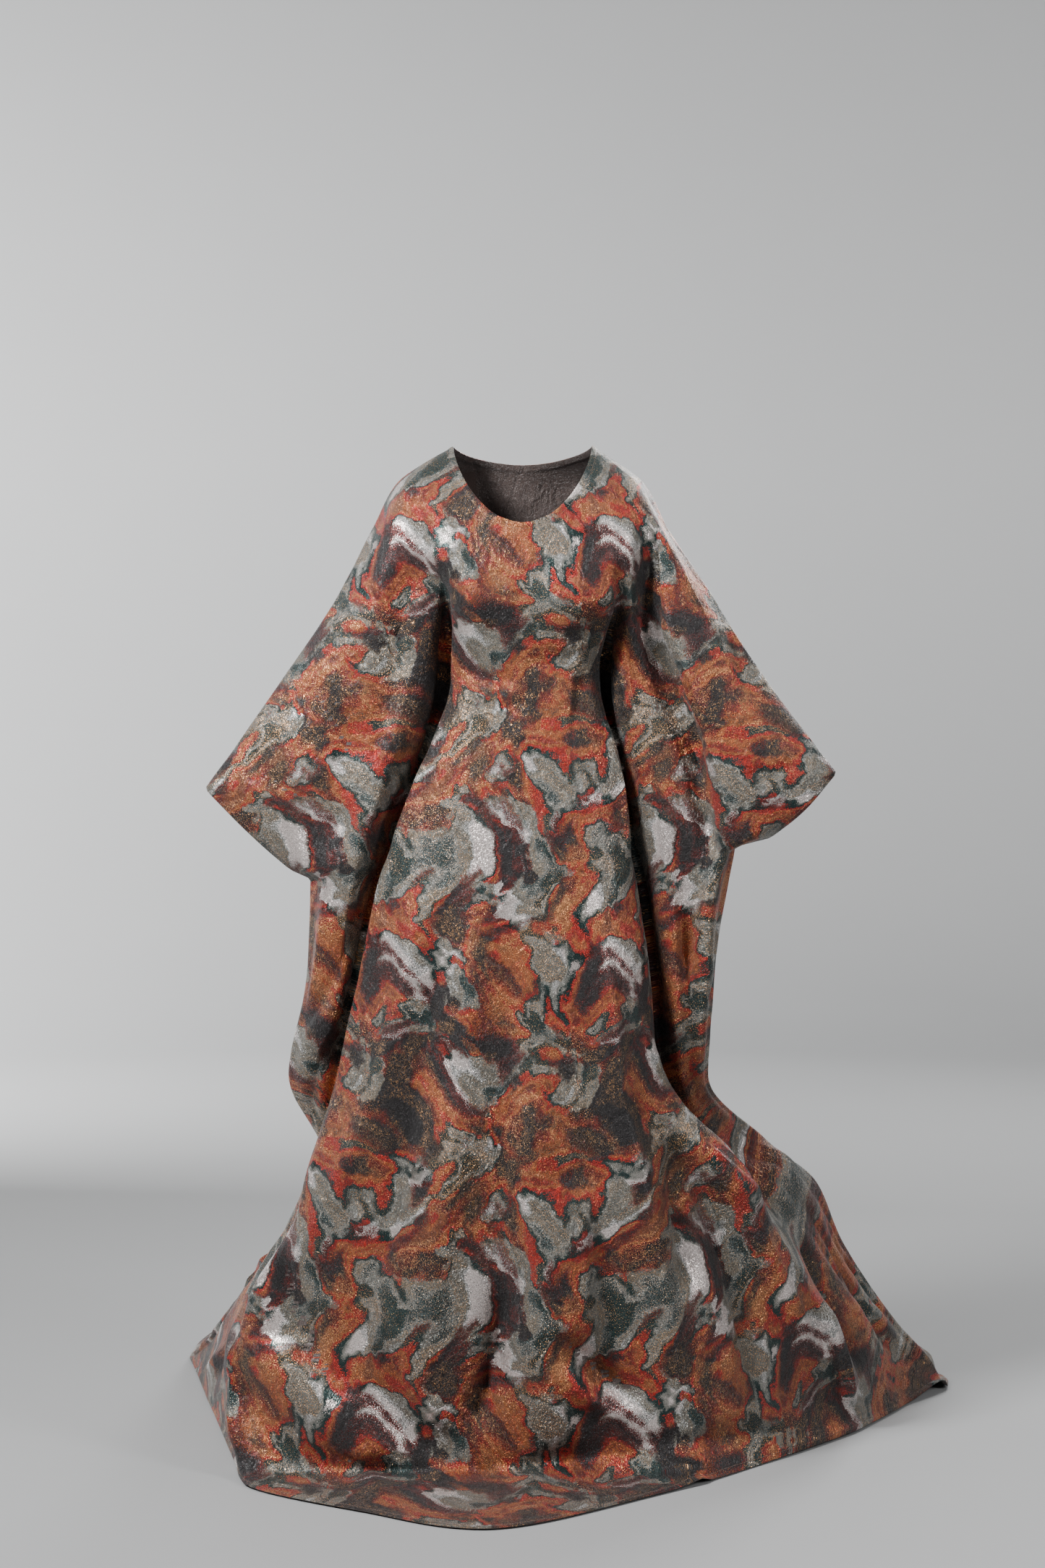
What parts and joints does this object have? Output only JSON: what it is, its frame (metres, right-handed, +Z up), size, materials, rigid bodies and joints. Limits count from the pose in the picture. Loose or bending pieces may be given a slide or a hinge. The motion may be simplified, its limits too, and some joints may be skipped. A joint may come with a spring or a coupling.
{
  "type": "kaftan",
  "caption": "Floor-length kaftan of stiff metallic jacquard with wide butterfly sleeves cut in one with the body, deep folds from the underarm, round neck and a short train.",
  "frame": {"origin": "midway between the shoulders that carry the garment, 1.44 m above the floor that its hem lies on", "axes": "+Z up, the front faces -Y, +X to the right of the front view"},
  "size_m": [1.2506, 1.1968, 1.4537],
  "materials": {
    "front_panel_cloth": "crinkled jacquard with metallic threads, marbled in red, copper, gold, silver and dark green",
    "back_panel_cloth": "crinkled jacquard with metallic threads, marbled in red, copper, gold, silver and dark green"
  },
  "bodies": {
    "root": {"front_panel": "front_panel_cloth", "back_panel": "back_panel_cloth"}
  },
  "joints": []
}
